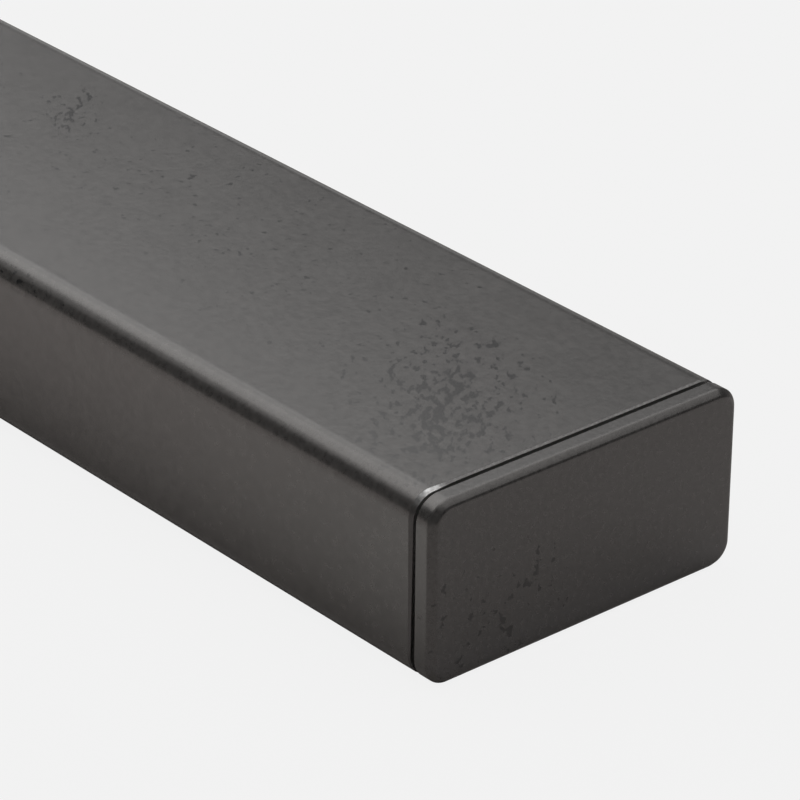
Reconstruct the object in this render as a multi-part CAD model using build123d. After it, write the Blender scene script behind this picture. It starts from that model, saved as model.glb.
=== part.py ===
"""Flat aluminium handrail: a hollow extruded rail with a push-in moulded cap in each end.

Units are millimetres. The rail runs along X, the palm side is +Z and the part rests on its flat underside.
The origin is at the middle of the underside.
"""

import os

from build123d import *

# Extruded rail
RAIL_LENGTH = 1000.0
RAIL_WIDTH = 60.0
RAIL_HEIGHT = 30.0
RAIL_WALL = 2.0
EDGE_RADIUS = 4.0
LEAST_RADIUS = 0.5

# Deburred saw cuts at both ends, round the outside and round the bore
CUT_BEVEL = 0.25
BORE_BEVEL = 0.3

# Cap flange, flush with the rail all round
FLANGE_THICKNESS = 3.5
FLANGE_CHAMFER = 1.0
BROW_RADIUS = 0.8
SHOULDER_RADIUS = 0.5
BACK_BEVEL = 0.15

# Seating step between flange and saw cut, which leaves the shadow line
SHADOW_GAP = 1.0
SEAT_LAND = 0.5

# Hollow plug that holds the cap in the bore
PLUG_DEPTH = 24.0
PLUG_WALL = 1.8
PLUG_CLEARANCE = 0.9
LEAD_IN_LENGTH = 3.0
NOSE_WALL = 0.8

# Barbed fins round the plug
FIN_COUNT = 4
FIN_CLEARANCE = 0.1
FIN_LAND = 0.6
FIN_RAMP = 1.4

# Upright webs that stiffen the plug inside
WEB_COUNT = 2
WEB_THICKNESS = 1.5

# Every outline is the rail's outline set in by one distance
BORE_INSET = RAIL_WALL
SEAT_INSET = RAIL_WALL - BORE_BEVEL - SEAT_LAND
PLUG_INSET = BORE_INSET + PLUG_CLEARANCE
FIN_INSET = BORE_INSET + FIN_CLEARANCE
HOLLOW_INSET = PLUG_INSET + PLUG_WALL
NOSE_INSET = HOLLOW_INSET - NOSE_WALL

MID_HEIGHT = RAIL_HEIGHT / 2
RAIL_END = RAIL_LENGTH / 2
FLANGE_BACK = RAIL_END + SHADOW_GAP
FLANGE_FRONT = FLANGE_BACK + FLANGE_THICKNESS
PLUG_NOSE = RAIL_END - PLUG_DEPTH


def outline(inset, x):
    """The rail's rounded outline, set in by a distance, on the cross plane at x."""
    plane = Plane(origin=(x, 0, MID_HEIGHT), x_dir=(0, 1, 0), z_dir=(1, 0, 0))
    radius = max(EDGE_RADIUS - inset, LEAST_RADIUS)
    return plane * RectangleRounded(RAIL_WIDTH - 2 * inset, RAIL_HEIGHT - 2 * inset, radius)


def prism(inset, x_from, x_to):
    """A straight length of that outline between two cross planes."""
    return extrude(outline(inset, x_from), amount=x_to - x_from)


def taper(inset_from, x_from, inset_to, x_to):
    """A tapering length between two such outlines."""
    return loft([outline(inset_from, x_from), outline(inset_to, x_to)], ruled=True)


def end_faces(solid):
    """The end faces of a prism, low X first."""
    faces = solid.faces().filter_by(Axis.X).sort_by(Axis.X)
    return faces[0], faces[-1]


def make_rail():
    """The hollow extrusion, with the burrs of both saw cuts taken off."""
    rail = prism(0, -RAIL_END, RAIL_END) - prism(BORE_INSET, -RAIL_END, RAIL_END)
    outer_edges = [edge for face in end_faces(rail) for edge in face.outer_wire().edges()]
    rail = chamfer(outer_edges, CUT_BEVEL)
    bore_edges = [edge for face in end_faces(rail) for edge in face.inner_wires()[0].edges()]
    return chamfer(bore_edges, BORE_BEVEL)


def make_flange():
    """The visible plate: a chamfer with softened edges round the front, and a fine bevel at the back."""
    flange = prism(0, FLANGE_BACK, FLANGE_FRONT)
    flange = chamfer(end_faces(flange)[1].edges(), FLANGE_CHAMFER)
    chamfer_start = FLANGE_FRONT - FLANGE_CHAMFER
    shoulder = flange.edges().filter_by_position(Axis.X, chamfer_start, chamfer_start)
    flange = fillet(shoulder, SHOULDER_RADIUS)
    flange = fillet(end_faces(flange)[1].edges(), BROW_RADIUS)
    return chamfer(end_faces(flange)[0].edges(), BACK_BEVEL)


def make_plug():
    """The hollow skirt that enters the bore, tapered at its nose."""
    skirt_start = PLUG_NOSE + LEAD_IN_LENGTH
    lead_in = taper(NOSE_INSET, PLUG_NOSE, PLUG_INSET, skirt_start)
    skirt = prism(PLUG_INSET, skirt_start, RAIL_END)
    return lead_in + skirt - prism(HOLLOW_INSET, PLUG_NOSE, RAIL_END)


def make_fins():
    """Saw-tooth fins round the skirt: a ramp towards the nose and a square back that grips."""
    first = PLUG_NOSE + LEAD_IN_LENGTH
    pitch = (RAIL_END - BORE_BEVEL - first) / FIN_COUNT
    fins = []
    for index in range(FIN_COUNT):
        ramp_start = first + index * pitch
        ramp_end = ramp_start + FIN_RAMP
        fin = taper(PLUG_INSET, ramp_start, FIN_INSET, ramp_end)
        fin += prism(FIN_INSET, ramp_end, ramp_end + FIN_LAND)
        fins.append(fin - prism(HOLLOW_INSET, PLUG_NOSE, RAIL_END))
    return fins


def make_webs():
    """Upright webs across the inside of the skirt, evenly spaced over its width."""
    hollow_width = RAIL_WIDTH - 2 * HOLLOW_INSET
    hollow_height = RAIL_HEIGHT - 2 * HOLLOW_INSET
    web_length = PLUG_DEPTH - LEAD_IN_LENGTH
    webs = []
    for index in range(WEB_COUNT):
        y = -hollow_width / 2 + hollow_width * (index + 1) / (WEB_COUNT + 1)
        centre = Pos(RAIL_END - web_length / 2, y, MID_HEIGHT)
        webs.append(centre * Box(web_length, WEB_THICKNESS, hollow_height))
    return webs


def make_cap():
    """One moulded cap in the +X end: flange, seating step, plug, fins and webs in one piece."""
    seat = prism(SEAT_INSET, RAIL_END, FLANGE_BACK)
    cap = make_flange() + seat + make_plug()
    for rib in make_fins() + make_webs():
        cap += rib
    return cap


rail_profile = make_rail()
end_cap_front = make_cap()
# The far end takes the same moulding, turned half round about the vertical
end_cap_rear = Rot(0, 0, 180) * end_cap_front

pieces = {
    "rail_profile": rail_profile,
    "end_cap_front": end_cap_front,
    "end_cap_rear": end_cap_rear,
}
os.makedirs("parts", exist_ok=True)
for name, piece in pieces.items():
    piece.label = name
    export_step(piece, f"parts/{name}.step")
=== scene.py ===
import math

import bmesh
import bpy
from mathutils import Matrix, Vector


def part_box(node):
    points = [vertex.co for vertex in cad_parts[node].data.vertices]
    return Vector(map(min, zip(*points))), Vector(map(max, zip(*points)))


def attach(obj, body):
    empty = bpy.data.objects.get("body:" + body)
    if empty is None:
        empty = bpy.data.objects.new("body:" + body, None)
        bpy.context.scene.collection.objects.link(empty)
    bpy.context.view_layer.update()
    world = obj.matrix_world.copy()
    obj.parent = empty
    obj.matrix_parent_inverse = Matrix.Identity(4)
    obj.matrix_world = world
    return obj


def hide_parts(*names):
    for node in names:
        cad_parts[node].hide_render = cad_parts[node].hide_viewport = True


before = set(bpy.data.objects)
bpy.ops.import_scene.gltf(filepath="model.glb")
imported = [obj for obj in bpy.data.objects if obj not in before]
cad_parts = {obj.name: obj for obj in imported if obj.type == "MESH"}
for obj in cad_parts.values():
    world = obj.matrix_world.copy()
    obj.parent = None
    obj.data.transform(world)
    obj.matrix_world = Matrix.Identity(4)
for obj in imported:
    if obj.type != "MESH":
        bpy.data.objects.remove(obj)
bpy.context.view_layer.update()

# A flat handrail lying on a pale studio floor, seen from above its front end.
# Everything is in metres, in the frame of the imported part.
MM = 0.001

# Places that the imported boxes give
rail_low, rail_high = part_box("rail_profile")
cap_low, cap_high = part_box("end_cap_front")
RAIL_END = rail_high.x
RAIL_WIDTH = rail_high.y - rail_low.y
RAIL_HEIGHT = rail_high.z - rail_low.z
MID_HEIGHT = (rail_high.z + rail_low.z) / 2
FLANGE_FRONT = cap_high.x
PLUG_NOSE = cap_low.x

# Sizes of the section, the saw cut and the cap, as on the solids
RAIL_WALL = 2.0 * MM
EDGE_RADIUS = 4.0 * MM
LEAST_RADIUS = 0.5 * MM
CUT_BEVEL = 0.25 * MM
BORE_BEVEL = 0.3 * MM
FLANGE_THICKNESS = 3.5 * MM
FLANGE_CHAMFER = 1.0 * MM
BROW_RADIUS = 0.8 * MM
SHOULDER_RADIUS = 0.5 * MM
BACK_BEVEL = 0.15 * MM
SEAT_LAND = 0.5 * MM
PLUG_WALL = 1.8 * MM
PLUG_CLEARANCE = 0.9 * MM
LEAD_IN_LENGTH = 3.0 * MM
NOSE_WALL = 0.8 * MM
FIN_COUNT = 4
FIN_CLEARANCE = 0.1 * MM
FIN_LAND = 0.6 * MM
FIN_RAMP = 1.4 * MM
WEB_COUNT = 2
WEB_THICKNESS = 1.5 * MM

FLANGE_BACK = FLANGE_FRONT - FLANGE_THICKNESS
SEAT_INSET = RAIL_WALL - BORE_BEVEL - SEAT_LAND
PLUG_INSET = RAIL_WALL + PLUG_CLEARANCE
FIN_INSET = RAIL_WALL + FIN_CLEARANCE
HOLLOW_INSET = PLUG_INSET + PLUG_WALL
NOSE_INSET = HOLLOW_INSET - NOSE_WALL

# Fineness of the meshes
CORNER_STEPS = 24
ROUND_STEPS = 6
FLAT_MARGIN = 0.3 * MM
SPLIT_TOLERANCE = 0.01 * MM
SHARP_ANGLE = math.radians(30)

# Camera fitted to the outline in the photograph
CAMERA_PLACE = Vector((0.91720, -0.39200, 0.33344))
CAMERA_AIM = Vector((0.45478, 0.00678, 0.01500))
CAMERA_ROLL = math.radians(0.614)
CAMERA_LENS = 202.27
CAMERA_SENSOR = 36.0


# Meshes

def outline(inset, x, splits=()):
    """The rail's rounded outline set in by a distance, on the cross plane at x.

    Each flat has a point close to its arcs, which keeps the flat truly flat in shading. Places in splits are
    extra points across the top and bottom flats.
    """
    radius = max(EDGE_RADIUS - inset, LEAST_RADIUS)
    reach_y = RAIL_WIDTH / 2 - inset - radius
    reach_z = RAIL_HEIGHT / 2 - inset - radius
    corners = ((1, 1), (-1, 1), (-1, -1), (1, -1))
    places = []
    for turn, (side_y, side_z) in enumerate(corners):
        for step in range(CORNER_STEPS + 1):
            angle = math.radians(90 * (turn + step / CORNER_STEPS))
            y = side_y * reach_y + radius * math.cos(angle)
            z = side_z * reach_z + radius * math.sin(angle)
            places.append((y, z))
        if turn == 0:
            places += [(y, reach_z + radius) for y in sorted(flat_points(reach_y, splits), reverse=True)]
        elif turn == 1:
            places += [(-reach_y - radius, z) for z in sorted(flat_points(reach_z), reverse=True)]
        elif turn == 2:
            places += [(y, -reach_z - radius) for y in sorted(flat_points(reach_y, splits))]
        else:
            places += [(reach_y + radius, z) for z in sorted(flat_points(reach_z))]
    return [Vector((x, y, MID_HEIGHT + z)) for y, z in places]


def flat_points(reach, splits=()):
    """Places along one flat of the outline: close to both ends, and at the splits."""
    return [FLAT_MARGIN - reach, reach - FLAT_MARGIN, *splits]


def add_ring(mesh, inset, x, splits=()):
    """The vertices of one outline."""
    return [mesh.verts.new(point) for point in outline(inset, x, splits)]


def skin(mesh, first, second, material=0):
    """Faces between two rings of the same count."""
    for index in range(len(first)):
        after = (index + 1) % len(first)
        face = mesh.faces.new((first[index], first[after], second[after], second[index]))
        face.material_index = material


def rounded_corner(before, corner, after, radius):
    """Points of a tangent arc that rounds one corner of a profile given as (inset, x) pairs."""
    corner = Vector(corner)
    to_before = (Vector(before) - corner).normalized()
    to_after = (Vector(after) - corner).normalized()
    half = to_before.angle(to_after) / 2
    centre = corner + (to_before + to_after).normalized() * radius / math.sin(half)
    start = corner + to_before * radius / math.tan(half) - centre
    end = corner + to_after * radius / math.tan(half) - centre
    sweep = start.angle(end)
    points = []
    for step in range(ROUND_STEPS + 1):
        share = step / ROUND_STEPS
        arm = start * math.sin((1 - share) * sweep) + end * math.sin(share * sweep)
        points.append(tuple(centre + arm / math.sin(sweep)))
    return points


def finish_piece(mesh, name, materials, node):
    """Turns a built mesh into a piece that stands for one CAD node."""
    bmesh.ops.recalc_face_normals(mesh, faces=mesh.faces)
    data = bpy.data.meshes.new(name)
    mesh.to_mesh(data)
    mesh.free()
    for material in materials:
        data.materials.append(material)
    data.shade_smooth()
    data.set_sharp_from_angle(angle=SHARP_ANGLE)
    piece = bpy.data.objects.new(name, data)
    bpy.context.scene.collection.objects.link(piece)
    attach(piece, "root")
    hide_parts(node)
    return piece


# The corner of the front saw cut where the file went deeper, and the points across the flats that follow it
FILED_INSET = 1.2 * MM
FILED_CORNER = Vector((rail_low.y + FILED_INSET, rail_high.z - FILED_INSET))
FILED_DEPTH = 0.36 * MM
FILED_REACH = 8.5 * MM
FILED_SPLITS = [rail_low.y + step * MM for step in (6, 8, 10, 12)]


def filed_depth(point):
    """How much deeper the bevel is at a point of the outline."""
    distance = (Vector((point.y, point.z)) - FILED_CORNER).length
    share = max(0.0, 1.0 - distance / FILED_REACH)
    return FILED_DEPTH * share * share * (3 - 2 * share)


def file_corner(rings):
    """Deepens the bevel between the second and the third ring, as a hand file does at one corner."""
    for side, start, rim in zip(*rings):
        depth = filed_depth(start.co)
        inward = Vector((0.0, rim.co.y - start.co.y, rim.co.z - start.co.z)).normalized()
        side.co.x -= depth
        start.co.x -= depth
        rim.co += inward * depth


# The order of the rail's materials
COATED, WORN, BARE = range(3)


def make_rail(coat, worn_edge, bare_metal):
    """The hollow rail: coated outside, worn along its deburred ends, bare on the saw cuts and in the bore."""
    cut = [
        (0.0, RAIL_END - CUT_BEVEL - FLAT_MARGIN),
        (0.0, RAIL_END - CUT_BEVEL),
        (CUT_BEVEL, RAIL_END),
        (RAIL_WALL - BORE_BEVEL, RAIL_END),
        (RAIL_WALL, RAIL_END - BORE_BEVEL),
    ]
    profile = cut + [(inset, -x) for inset, x in reversed(cut)]
    finish = [COATED, WORN, BARE, BARE, BARE, BARE, BARE, WORN, COATED, COATED]
    mesh = bmesh.new()
    rings = [add_ring(mesh, inset, x, FILED_SPLITS) for inset, x in profile]
    file_corner(rings[:3])
    for index, ring in enumerate(rings):
        skin(mesh, ring, rings[(index + 1) % len(rings)], finish[index])
    materials = (coat, worn_edge, bare_metal)
    return finish_piece(mesh, "rail", materials, "rail_profile")


def flange_profile():
    """The flange from its front face to its back: softened edges round the chamfer, a fine bevel behind."""
    face = (FLANGE_CHAMFER + 2 * FLAT_MARGIN, FLANGE_FRONT)
    brow = (FLANGE_CHAMFER, FLANGE_FRONT)
    shoulder = (0.0, FLANGE_FRONT - FLANGE_CHAMFER)
    heel = (0.0, FLANGE_BACK)
    profile = [face]
    profile += rounded_corner(face, brow, shoulder, BROW_RADIUS)
    profile += rounded_corner(brow, shoulder, heel, SHOULDER_RADIUS)
    profile.append((0.0, FLANGE_FRONT - FLANGE_CHAMFER - 2 * FLAT_MARGIN))
    profile.append((0.0, FLANGE_BACK + BACK_BEVEL + FLAT_MARGIN))
    profile.append((0.0, FLANGE_BACK + BACK_BEVEL))
    profile.append((BACK_BEVEL, FLANGE_BACK))
    profile.append((SEAT_INSET, FLANGE_BACK))
    return profile


def plug_profile():
    """The seating step and the finned plug, from the saw cut to the nose."""
    first_fin = PLUG_NOSE + LEAD_IN_LENGTH
    pitch = (RAIL_END - BORE_BEVEL - first_fin) / FIN_COUNT
    profile = [(SEAT_INSET, RAIL_END), (PLUG_INSET, RAIL_END)]
    for index in reversed(range(FIN_COUNT)):
        ramp_start = first_fin + index * pitch
        ramp_end = ramp_start + FIN_RAMP
        profile.append((PLUG_INSET, ramp_end + FIN_LAND))
        profile.append((FIN_INSET, ramp_end + FIN_LAND))
        profile.append((FIN_INSET, ramp_end))
        profile.append((PLUG_INSET, ramp_start))
    profile.append((NOSE_INSET, PLUG_NOSE))
    return profile


def verts_across(ring, low, high):
    """The vertices of a ring between two places across its width."""
    return [vert for vert in ring if low - SPLIT_TOLERANCE <= vert.co.y <= high + SPLIT_TOLERANCE]


def add_hollow(mesh, nose_ring, web_sides, splits):
    """The inside of the plug: one mouth at the nose, then a pocket on each side of every web."""
    mouth = add_ring(mesh, HOLLOW_INSET, PLUG_NOSE, splits)
    web_start = add_ring(mesh, HOLLOW_INSET, PLUG_NOSE + LEAD_IN_LENGTH, splits)
    skin(mesh, nose_ring, mouth)
    skin(mesh, mouth, web_start)
    depth = Vector((RAIL_END - PLUG_NOSE - LEAD_IN_LENGTH, 0, 0))
    edges_y = [-RAIL_WIDTH, *splits, RAIL_WIDTH]
    for low, high in zip(edges_y[0::2], edges_y[1::2]):
        rim = verts_across(web_start, low, high)
        floor = [mesh.verts.new(vert.co + depth) for vert in rim]
        skin(mesh, rim, floor)
        mesh.faces.new(floor)
    for low, high in web_sides:
        mesh.faces.new(verts_across(web_start, low, high))


def make_cap(name, node, plastic, turn):
    """One moulded cap, turned about the vertical to face its end of the rail."""
    hollow_width = RAIL_WIDTH - 2 * HOLLOW_INSET
    web_sides = []
    for index in range(WEB_COUNT):
        y = -hollow_width / 2 + hollow_width * (index + 1) / (WEB_COUNT + 1)
        web_sides.append((y - WEB_THICKNESS / 2, y + WEB_THICKNESS / 2))
    splits = [y for side in web_sides for y in side]
    mesh = bmesh.new()
    rings = [add_ring(mesh, inset, x, splits) for inset, x in flange_profile() + plug_profile()]
    mesh.faces.new(rings[0])
    for first, second in zip(rings, rings[1:]):
        skin(mesh, first, second)
    add_hollow(mesh, rings[-1], web_sides, splits)
    mesh.transform(Matrix.Rotation(turn, 4, "Z"))
    return finish_piece(mesh, name, (plastic,), node)


# Node helpers

# Sockets of a Mix node that blends colours
MIX_SHARE, MIX_LOW, MIX_HIGH = 0, 6, 7
MIX_RESULT = 2


def add_node(tree, kind, inputs=None, **settings):
    """One node with its settings. An input is a plain value, or a socket to link from."""
    node = tree.nodes.new(kind)
    for name, value in settings.items():
        setattr(node, name, value)
    for name, value in (inputs or {}).items():
        if isinstance(value, bpy.types.NodeSocket):
            tree.links.new(value, node.inputs[name])
        else:
            node.inputs[name].default_value = value
    return node


def add_math(tree, operation, *values):
    """The result of one sum on two or three values."""
    node = add_node(tree, "ShaderNodeMath", dict(enumerate(values)), operation=operation)
    return node.outputs[0]


def ramp(tree, value, start, end, low=0.0, high=1.0, soft=False):
    """A value that goes from low to high while another goes from start to end, and is level outside them."""
    node = add_node(tree, "ShaderNodeMapRange", {
        "Value": value, "From Min": start, "From Max": end, "To Min": low, "To Max": high,
    }, interpolation_type="SMOOTHSTEP" if soft else "LINEAR")
    return node.outputs["Result"]


def blend_values(tree, share, low, high):
    """A value that goes from low to high with a share from 0 to 1."""
    return ramp(tree, share, 0.0, 1.0, low, high)


def blend_colours(tree, share, low, high):
    """A colour that goes from low to high with a share from 0 to 1."""
    ends = {MIX_SHARE: share, MIX_LOW: low, MIX_HIGH: high}
    return add_node(tree, "ShaderNodeMix", ends, data_type="RGBA").outputs[MIX_RESULT]


def new_group(name, inputs, outputs):
    """An empty shader node group with its named sockets."""
    group = bpy.data.node_groups.new(name, "ShaderNodeTree")
    for label, kind in inputs:
        group.interface.new_socket(name=label, in_out="INPUT", socket_type=kind)
    for label in outputs:
        group.interface.new_socket(name=label, in_out="OUTPUT", socket_type="NodeSocketFloat")
    entry = group.nodes.new("NodeGroupInput")
    result = group.nodes.new("NodeGroupOutput")
    return group, entry.outputs, result.inputs


def place_group(tree, group, inputs):
    """One use of a node group, with its own values."""
    return add_node(tree, "ShaderNodeGroup", inputs, node_tree=group).outputs


# Shared surface effects

GRAIN_DETAIL = 2.0
GRAIN_FINENESS = 0.55
SLOW_SHARE = 0.09
SLOW_DETAIL = 2.0
SLOW_FINENESS = 0.5


def make_grain():
    """The fine pebbled skin of powder coat and moulded plastic, and slow changes in its gloss."""
    sockets = [("Place", "NodeSocketVector"), ("Grains per Metre", "NodeSocketFloat")]
    group, given, result = new_group("pebbled_grain", sockets, ["Height", "Gloss Change"])
    pebbles = add_node(group, "ShaderNodeTexNoise", {
        "Vector": given["Place"], "Scale": given["Grains per Metre"],
        "Detail": GRAIN_DETAIL, "Roughness": GRAIN_FINENESS,
    })
    slow_scale = add_math(group, "MULTIPLY", given["Grains per Metre"], SLOW_SHARE)
    slow = add_node(group, "ShaderNodeTexNoise", {
        "Vector": given["Place"], "Scale": slow_scale,
        "Detail": SLOW_DETAIL, "Roughness": SLOW_FINENESS,
    })
    group.links.new(pebbles.outputs["Fac"], result["Height"])
    group.links.new(slow.outputs["Fac"], result["Gloss Change"])
    return group


SPECK_DETAIL = 2.0
SPECK_FINENESS = 0.55
CLUSTER_DETAIL = 1.0
CLUSTER_SHARE = 0.28
CLUSTER_PULL = 0.32
SPECK_FROM = 0.965
SPECK_TO = 1.005


def make_marks():
    """Dull specks that crowd together in the middle of a spot and thin out to its edge.

    Spot is the place counted from the middle of the spot, in units of its reach. Place is the same place in
    metres, turned and drawn out the way the specks are smeared.
    """
    sockets = [
        ("Spot", "NodeSocketVector"), ("Place", "NodeSocketVector"), ("Specks per Metre", "NodeSocketFloat"),
        ("Cover in the middle", "NodeSocketFloat"), ("Cover at the edge", "NodeSocketFloat"),
    ]
    group, given, result = new_group("dull_marks", sockets, ["Mask"])
    length = add_node(group, "ShaderNodeVectorMath", {0: given["Spot"]}, operation="LENGTH")
    distance = length.outputs["Value"]
    cover_ends = given["Cover in the middle"], given["Cover at the edge"]
    cover = ramp(group, distance, 0.0, 1.0, *cover_ends, soft=True)
    specks = add_node(group, "ShaderNodeTexNoise", {
        "Vector": given["Place"], "Scale": given["Specks per Metre"],
        "Detail": SPECK_DETAIL, "Roughness": SPECK_FINENESS,
    }).outputs["Fac"]
    cluster_scale = add_math(group, "MULTIPLY", given["Specks per Metre"], CLUSTER_SHARE)
    clusters = add_node(group, "ShaderNodeTexNoise", {
        "Vector": given["Place"], "Scale": cluster_scale, "Detail": CLUSTER_DETAIL,
    }).outputs["Fac"]
    level = add_math(group, "MULTIPLY_ADD", clusters, CLUSTER_PULL, specks)
    level = add_math(group, "ADD", level, cover)
    inside = add_math(group, "LESS_THAN", distance, 1.0)
    mask = ramp(group, level, SPECK_FROM, SPECK_TO, soft=True)
    group.links.new(add_math(group, "MULTIPLY", mask, inside), result["Mask"])
    return group


# Materials

COAT_HOLLOW = (0.0140, 0.0132, 0.0126, 1.0)
COAT_PEAK = (0.0290, 0.0274, 0.0262, 1.0)
PLASTIC_HOLLOW = (0.0125, 0.0119, 0.0114, 1.0)
PLASTIC_PEAK = (0.0265, 0.0252, 0.0244, 1.0)
MARK_COLOUR = (0.0030, 0.0032, 0.0035, 1.0)
METAL_COLOUR = (0.78, 0.78, 0.77, 1.0)
# Dull sawn metal, darkened further than bare aluminium as painted shade in the gap under the cap
SAWN_AND_SHADED_COLOUR = (0.31, 0.31, 0.306, 1.0)
WARM_SHEEN = (1.0, 0.955, 0.925, 1.0)

COAT_ROUGHNESS = 0.25
COAT_MARK_ROUGHNESS = 0.19
PLASTIC_MARK_ROUGHNESS = 0.52
PLASTIC_ROUGHNESS = 0.26
WORN_ROUGHNESS = 0.42
BORE_SMOOTH = 0.32
BORE_ROUGH = 0.50
PLASTIC_SHEEN = 0.56
GLOSS_SWING = 0.03
FILLED_HEIGHT = 0.5

COAT_GRAINS = 850.0
EDGE_GRAINS = 2 * COAT_GRAINS
PLASTIC_GRAINS = 1100.0
BORE_GRAINS = 2400.0
DIE_LINE_SCALE = (0.02, 1.0, 1.0)
GRAIN_HEIGHT = 0.011 * MM

# Where the specks show: the middle and reach of each spot, the way it is turned, how far the specks are drawn
# out that way, how fine they are, and how thickly they lie
RUB_TURN = math.radians(-40.5)
RUBBED = Vector((2.0, 1.0, 1.0))
ROUND = Vector((1.0, 1.0, 1.0))
TOP_SPOT = {
    "centre": Vector((482.5, -8.5, 30)) * MM, "reach": Vector((30, 16.5, 2)) * MM, "turn": RUB_TURN,
    "stretch": RUBBED, "specks": 840.0, "middle": 0.335, "edge": 0.175,
}
FAR_SPOT = {
    "centre": Vector((363.5, 13.5, 30)) * MM, "reach": Vector((12, 5, 10)) * MM, "turn": RUB_TURN,
    "stretch": RUBBED, "specks": 840.0, "middle": 0.29, "edge": 0.18,
}
STRAY_SPOT = {
    "centre": Vector((408, 4, 30)) * MM, "reach": Vector((80, 24, 2)) * MM, "turn": 0.0,
    "stretch": ROUND, "specks": 720.0, "middle": 0.165, "edge": 0.130,
}
FILLET_SPOT = {
    "centre": Vector((384, -29, 28.5)) * MM, "reach": Vector((34, 4, 3)) * MM, "turn": 0.0,
    "stretch": ROUND, "specks": 900.0, "middle": 0.24, "edge": 0.17,
}
COAT_SPOTS = (TOP_SPOT, FAR_SPOT, STRAY_SPOT, FILLET_SPOT)
FACE_SPOT = {
    "centre": Vector((504.5, -17, 9)) * MM, "reach": Vector((15, 14, 12)) * MM, "turn": 0.0,
    "stretch": ROUND, "specks": 620.0, "middle": 0.195, "edge": 0.165,
}


def new_material(name):
    """A material, its tree, its shader and the place on the surface."""
    material = bpy.data.materials.new(name)
    material.use_nodes = True
    tree = material.node_tree
    place = add_node(tree, "ShaderNodeTexCoord").outputs["Object"]
    return material, tree, tree.nodes["Principled BSDF"], place


GRAIN_LOW = 0.3
GRAIN_HIGH = 0.7


def mottled(tree, height, hollow, peak):
    """The colour of a pebbled skin, which goes from the hollows to the peaks of its grain."""
    return blend_colours(tree, ramp(tree, height, GRAIN_LOW, GRAIN_HIGH), hollow, peak)


def add_bump(tree, shader, height, distance):
    """Raises the surface by a height that goes from 0 to 1."""
    bump = add_node(tree, "ShaderNodeBump", {"Height": height, "Distance": distance})
    tree.links.new(bump.outputs["Normal"], shader.inputs["Normal"])


def spot_marks(tree, place, marks, spot):
    """The speck mask of one spot on a surface."""
    places = []
    for scale in (spot["reach"], spot["stretch"]):
        mapping = add_node(tree, "ShaderNodeMapping", {
            "Vector": place, "Location": spot["centre"], "Rotation": (0.0, 0.0, spot["turn"]), "Scale": scale,
        }, vector_type="TEXTURE")
        places.append(mapping.outputs["Vector"])
    return place_group(tree, marks, {
        "Spot": places[0], "Place": places[1], "Specks per Metre": spot["specks"],
        "Cover in the middle": spot["middle"], "Cover at the edge": spot["edge"],
    })["Mask"]


def make_powder_coat(grain, marks):
    """Dark grey satin powder coat with a pebbled skin, and specks on the palm side and along one fillet."""
    material, tree, shader, place = new_material("powder_coat")
    skin_values = place_group(tree, grain, {"Place": place, "Grains per Metre": COAT_GRAINS})
    masks = [spot_marks(tree, place, marks, spot) for spot in COAT_SPOTS]
    dulled = masks[0]
    for mask in masks[1:]:
        dulled = add_math(tree, "MAXIMUM", dulled, mask)
    gloss = blend_values(
        tree, skin_values["Gloss Change"], COAT_ROUGHNESS - GLOSS_SWING, COAT_ROUGHNESS + GLOSS_SWING)
    rough = blend_values(tree, dulled, gloss, COAT_MARK_ROUGHNESS)
    tree.links.new(rough, shader.inputs["Roughness"])
    colour = mottled(tree, skin_values["Height"], COAT_HOLLOW, COAT_PEAK)
    tree.links.new(blend_colours(tree, dulled, colour, MARK_COLOUR), shader.inputs["Base Color"])
    add_bump(tree, shader, blend_values(tree, dulled, skin_values["Height"], FILLED_HEIGHT), GRAIN_HEIGHT)
    shader.inputs["Specular Tint"].default_value = WARM_SHEEN
    return material


# The corner of the saw cut where the coat is rubbed through to the metal, and how far that reaches
WORN_CORNER = Vector((RAIL_END, rail_low.y + 4.0 * MM, rail_high.z - 0.2 * MM))
WORN_REACH = 3.9 * MM
WORN_SHARE = 0.55
EDGE_SHARE = 0.12
EDGE_DEPTH = 0.6 * MM
PATCHINESS = 2.0


def make_worn_edge(grain):
    """The coat on the deburred edge, worn thin along the palm side and rubbed bare round one corner."""
    material, tree, shader, place = new_material("worn_edge")
    skin_values = place_group(tree, grain, {"Place": place, "Grains per Metre": EDGE_GRAINS})
    offset = add_node(tree, "ShaderNodeVectorMath", {0: place, 1: WORN_CORNER}, operation="DISTANCE")
    corner = ramp(tree, offset.outputs["Value"], 0.0, WORN_REACH, WORN_SHARE, 0.0, soft=True)
    height = add_node(tree, "ShaderNodeSeparateXYZ", {0: place}).outputs["Z"]
    edge = ramp(tree, height, rail_high.z - EDGE_DEPTH, rail_high.z - CUT_BEVEL, 0.0, EDGE_SHARE)
    patchy = add_math(tree, "MULTIPLY", skin_values["Height"], PATCHINESS)
    metal = add_math(tree, "MULTIPLY", add_math(tree, "MAXIMUM", corner, edge), patchy)
    tree.links.new(metal, shader.inputs["Metallic"])
    tree.links.new(blend_colours(tree, metal, COAT_PEAK, METAL_COLOUR), shader.inputs["Base Color"])
    tree.links.new(blend_values(tree, metal, COAT_ROUGHNESS, WORN_ROUGHNESS), shader.inputs["Roughness"])
    add_bump(tree, shader, skin_values["Height"], GRAIN_HEIGHT)
    shader.inputs["Specular Tint"].default_value = WARM_SHEEN
    return material


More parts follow.
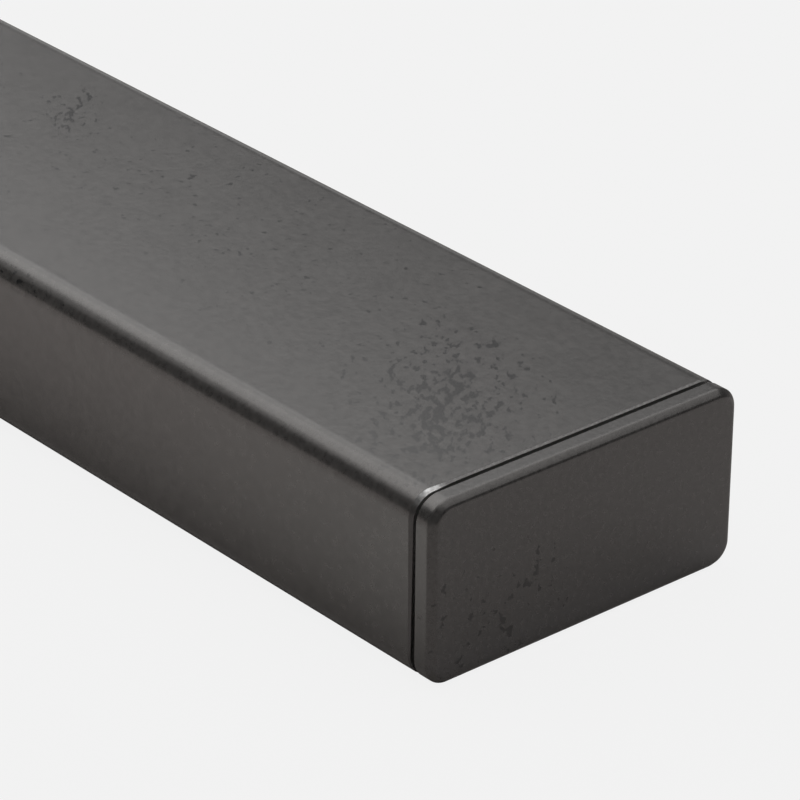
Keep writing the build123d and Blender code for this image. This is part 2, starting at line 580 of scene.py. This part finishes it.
def make_bare_aluminium(grain):
    """The bare saw cuts and bore, with the fine lines that the die leaves along the extrusion. Their dull
    metal is darker than bare aluminium, partly as painted shade for the gap under the cap.
    """
    material, tree, shader, place = new_material("bare_aluminium")
    along = add_node(tree, "ShaderNodeMapping", {"Vector": place, "Scale": DIE_LINE_SCALE})
    lines = place_group(tree, grain, {"Place": along.outputs["Vector"], "Grains per Metre": BORE_GRAINS})
    rough = blend_values(tree, lines["Gloss Change"], BORE_SMOOTH, BORE_ROUGH)
    tree.links.new(rough, shader.inputs["Roughness"])
    add_bump(tree, shader, lines["Height"], GRAIN_HEIGHT)
    shader.inputs["Base Color"].default_value = SAWN_AND_SHADED_COLOUR
    shader.inputs["Metallic"].default_value = 1.0
    return material


def make_cap_plastic(grain, marks):
    """Dark grey moulded plastic with a finer grain than the coat, and a few dull specks on its face."""
    material, tree, shader, place = new_material("cap_plastic")
    skin_values = place_group(tree, grain, {"Place": place, "Grains per Metre": PLASTIC_GRAINS})
    dulled = spot_marks(tree, place, marks, FACE_SPOT)
    gloss = blend_values(
        tree, skin_values["Gloss Change"], PLASTIC_ROUGHNESS - GLOSS_SWING, PLASTIC_ROUGHNESS + GLOSS_SWING)
    rough = blend_values(tree, dulled, gloss, PLASTIC_MARK_ROUGHNESS)
    tree.links.new(rough, shader.inputs["Roughness"])
    colour = mottled(tree, skin_values["Height"], PLASTIC_HOLLOW, PLASTIC_PEAK)
    tree.links.new(blend_colours(tree, dulled, colour, MARK_COLOUR), shader.inputs["Base Color"])
    add_bump(tree, shader, skin_values["Height"], GRAIN_HEIGHT)
    shader.inputs["Specular IOR Level"].default_value = PLASTIC_SHEEN
    shader.inputs["Specular Tint"].default_value = WARM_SHEEN
    return material


# Studio

WHITE = (1.0, 1.0, 1.0, 1.0)
BACKDROP_LEVEL = 0.888
HORIZON_LEVEL = 0.17
DOME_LEVEL = 0.3
HORIZON_TOP = 0.45
DOME_START = 0.75
BOARD_WAY = Vector((-0.866, 0.5, 0.0))
BOARD_EDGE = 0.88
BOARD_MIDDLE = 0.98
BOARD_LEVEL = 1.05
BOARD_TOP = 0.40
BOARD_FADE = 0.22


def make_world():
    """A dark horizon with a pale board behind the rail, a soft dome, and a plain backdrop for the camera."""
    world = bpy.data.worlds.new("studio")
    bpy.context.scene.world = world
    world.use_nodes = True
    tree = world.node_tree
    tree.nodes.clear()
    direction = add_node(tree, "ShaderNodeTexCoord").outputs["Generated"]
    height = add_node(tree, "ShaderNodeSeparateXYZ", {0: direction}).outputs["Z"]
    level = ramp(tree, height, HORIZON_TOP, DOME_START, HORIZON_LEVEL, DOME_LEVEL, soft=True)
    facing = add_node(tree, "ShaderNodeVectorMath", {0: direction, 1: BOARD_WAY}, operation="DOT_PRODUCT")
    board = ramp(tree, facing.outputs["Value"], BOARD_EDGE, BOARD_MIDDLE, 0.0, BOARD_LEVEL, soft=True)
    below_top = ramp(tree, height, BOARD_TOP - BOARD_FADE, BOARD_TOP, 1.0, 0.0, soft=True)
    board = add_math(tree, "MULTIPLY", board, below_top)
    dome = add_node(tree, "ShaderNodeBackground", {"Strength": add_math(tree, "MAXIMUM", level, board)})
    backdrop = add_node(tree, "ShaderNodeBackground", {"Color": WHITE, "Strength": BACKDROP_LEVEL})
    seen = add_node(tree, "ShaderNodeLightPath").outputs["Is Camera Ray"]
    mix = add_node(tree, "ShaderNodeMixShader", {0: seen, 1: dome.outputs[0], 2: backdrop.outputs[0]})
    add_node(tree, "ShaderNodeOutputWorld", {"Surface": mix.outputs[0]})


FLOOR_SIZE = 12.0
FLOOR_DROP = 0.2 * MM

# The floor's colour for the camera, and the painted light and shade that it throws back on the rail in place
# of real shading:
# a painted shadow at the foot of its sides, painted light beside it and by its near corners, painted shade
# behind it, and painted light and shade at the foot of its ends and past them
FLOOR_SEEN = (0.58, 0.58, 0.58, 1.0)
PAINTED_SHADOW_AT_FOOT = (0.41, 0.385, 0.37, 1.0)
PAINTED_LIGHT_BY_SIDE = (0.70, 0.655, 0.635, 1.0)
PAINTED_LIGHT_BY_CORNER = (0.83, 0.815, 0.79, 1.0)
PAINTED_SHADE_BEHIND = (0.20, 0.188, 0.18, 1.0)
PAINTED_LIGHT_AT_END = (0.65, 0.635, 0.645, 1.0)
PAINTED_SHADE_BY_END = (0.555, 0.530, 0.520, 1.0)
FOOT_FADE = 25.0 * MM
CORNER_FADE = 120.0 * MM
END_FADE = 9.0 * MM
END_TURN = 4.0 * MM
FLOOR_SHADE = 0.03


def make_floor():
    """A wide pale floor that looks plain to the camera, with faint shadows, and paints light and shade into
    what it throws back on the rail.
    """
    half = FLOOR_SIZE / 2
    data = bpy.data.meshes.new("floor")
    corners = [(x, y, -FLOOR_DROP) for x, y in ((-half, -half), (half, -half), (half, half), (-half, half))]
    data.from_pydata(corners, [], [(0, 1, 2, 3)])
    floor = bpy.data.objects.new("floor", data)
    bpy.context.scene.collection.objects.link(floor)
    material = bpy.data.materials.new("pale_floor")
    material.use_nodes = True
    tree = material.node_tree
    tree.nodes.clear()
    seen = add_node(tree, "ShaderNodeLightPath").outputs["Is Camera Ray"]
    place = add_node(tree, "ShaderNodeTexCoord").outputs["Object"]
    across = add_node(tree, "ShaderNodeSeparateXYZ", {0: place}).outputs["Y"]
    apart = add_node(tree, "ShaderNodeVectorMath", {0: place}, operation="ABSOLUTE").outputs["Vector"]
    apart = add_node(tree, "ShaderNodeSeparateXYZ", {0: apart}).outputs
    # Masks for the painted shade: a painted shadow at the foot of the sides, painted light by the near
    # corners, painted light and shade at and past the ends
    from_side = ramp(tree, apart["Y"], rail_high.y, rail_high.y + FOOT_FADE)
    near_corner = ramp(tree, apart["X"], FLANGE_FRONT - CORNER_FADE, FLANGE_FRONT, soft=True)
    from_end = ramp(tree, apart["X"], FLANGE_FRONT, FLANGE_FRONT + END_FADE)
    past_end = ramp(tree, apart["X"], FLANGE_FRONT, FLANGE_FRONT + END_TURN)
    behind = add_math(tree, "GREATER_THAN", across, 0.0)
    # Painted light and shade that the floor throws back on the rail, never seen by the camera
    painted_open_floor = blend_colours(tree, near_corner, PAINTED_LIGHT_BY_SIDE, PAINTED_LIGHT_BY_CORNER)
    painted_open_floor = blend_colours(tree, behind, painted_open_floor, PAINTED_SHADE_BEHIND)
    painted_side_shade = blend_colours(tree, from_side, PAINTED_SHADOW_AT_FOOT, painted_open_floor)
    painted_end_shade = blend_colours(tree, from_end, PAINTED_LIGHT_AT_END, PAINTED_SHADE_BY_END)
    painted_light_and_shade = blend_colours(tree, past_end, painted_side_shade, painted_end_shade)
    paper = add_node(tree, "ShaderNodeBsdfDiffuse", {
        "Color": blend_colours(tree, seen, painted_light_and_shade, FLOOR_SEEN),
    })
    glow = add_node(tree, "ShaderNodeEmission", {"Strength": BACKDROP_LEVEL})
    share = add_math(tree, "MULTIPLY", seen, 1.0 - FLOOR_SHADE)
    mix = add_node(tree, "ShaderNodeMixShader", {0: share, 1: paper.outputs[0], 2: glow.outputs[0]})
    add_node(tree, "ShaderNodeOutputMaterial", {"Surface": mix.outputs[0]})
    data.materials.append(material)


# Each light box: its name, two corners on the plan, its height and its radiance. The near edge of the bright
# ones runs in steps, which lets the highlight on the near fillet widen towards the cap.
LIGHT_BOXES = (
    ("far_softbox", (-2.00, 0.35), (1.30, 1.17), 1.00, 1.93),
    ("overhead_softbox", (-2.20, -0.22), (1.30, 0.35), 1.00, 2.80),
    ("near_softbox", (-2.20, -1.00), (1.30, -0.22), 1.00, 0.62),
    ("first_step_softbox", (-0.66, -0.44), (0.10, -0.22), 0.99, 2.50),
    ("second_step_softbox", (-0.50, -0.80), (0.10, -0.44), 0.99, 2.50),
)


def make_softbox(name, low, high, height, radiance):
    """A soft light box that hangs level over the rail, between two corners on the plan."""
    width = high[0] - low[0]
    depth = high[1] - low[1]
    data = bpy.data.lights.new(name, "AREA")
    data.shape = "RECTANGLE"
    data.size = width
    data.size_y = depth
    data.energy = radiance * math.pi * width * depth
    light = bpy.data.objects.new(name, data)
    light.location = (low[0] + width / 2, low[1] + depth / 2, height)
    light.visible_camera = False
    bpy.context.scene.collection.objects.link(light)


def make_camera():
    """The camera at the photograph's angle, with no shift."""
    data = bpy.data.cameras.new("camera")
    data.sensor_width = CAMERA_SENSOR
    data.lens = CAMERA_LENS
    camera = bpy.data.objects.new("camera", data)
    look = (CAMERA_AIM - CAMERA_PLACE).to_track_quat("-Z", "Y").to_matrix().to_4x4()
    roll = Matrix.Rotation(CAMERA_ROLL, 4, "Z")
    camera.matrix_world = Matrix.Translation(CAMERA_PLACE) @ look @ roll
    bpy.context.scene.collection.objects.link(camera)
    bpy.context.scene.camera = camera


grain = make_grain()
marks = make_marks()
coat = make_powder_coat(grain, marks)
worn_edge = make_worn_edge(grain)
metal = make_bare_aluminium(grain)
plastic = make_cap_plastic(grain, marks)
make_rail(coat, worn_edge, metal)
make_cap("cap_front", "end_cap_front", plastic, 0.0)
make_cap("cap_rear", "end_cap_rear", plastic, math.pi)

make_world()
make_floor()
for box in LIGHT_BOXES:
    make_softbox(*box)
make_camera()
bpy.context.scene.view_settings.view_transform = "Standard"
